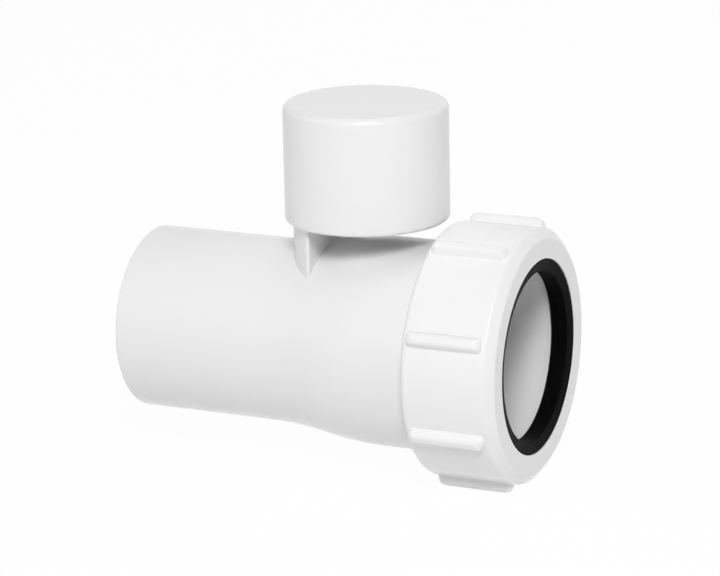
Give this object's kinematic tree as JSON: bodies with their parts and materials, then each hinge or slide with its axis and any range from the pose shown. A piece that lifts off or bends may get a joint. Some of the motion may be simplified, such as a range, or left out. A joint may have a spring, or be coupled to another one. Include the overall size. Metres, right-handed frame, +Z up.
{
  "type": "air admittance valve",
  "caption": "White in-line waste pipe fitting with a capped air admittance valve on a D-shaped leg, a plain spigot at one end and a compression nut with a black seal at the other.",
  "frame": {"origin": "on the pipe's axis, at the spigot's end face", "axes": "+X along the pipe from the spigot to the compression nut, +Z up through the valve's cap"},
  "size_m": [0.0978, 0.0598, 0.0862],
  "materials": {
    "body_plastic": "moulded, satin",
    "nut_plastic": "moulded, satin",
    "inner_plastic": "moulded, satin",
    "seal_rubber": "moulded, matt"
  },
  "bodies": {
    "valve": {"valve_body": "body_plastic", "valve_cap": "body_plastic", "rubber_seal": "seal_rubber"},
    "slip": {"slip_ring": "inner_plastic"},
    "nut": {"compression_nut": "nut_plastic"},
    "diaphragm": {"diaphragm_carrier": "inner_plastic", "rubber_diaphragm": "seal_rubber"}
  },
  "joints": [
    {"name": "nut_travel", "type": "slide", "parent": "valve", "child": "slip", "axis": [1, 0, 0], "range_m": [0, 0.0105]},
    {"name": "nut_turn", "type": "hinge", "parent": "slip", "child": "nut", "pos_m": [0.087, 0, 0], "axis": [1, 0, 0], "range_deg": [0, 1080]},
    {"name": "diaphragm_lift", "type": "slide", "parent": "valve", "child": "diaphragm", "axis": [0, 0, 1], "range_m": [0, 0.004]}
  ],
  "couplings": [
    {"joint": "nut_travel", "follows": "nut_turn", "m_per_rad": 0.00055704}
  ]
}
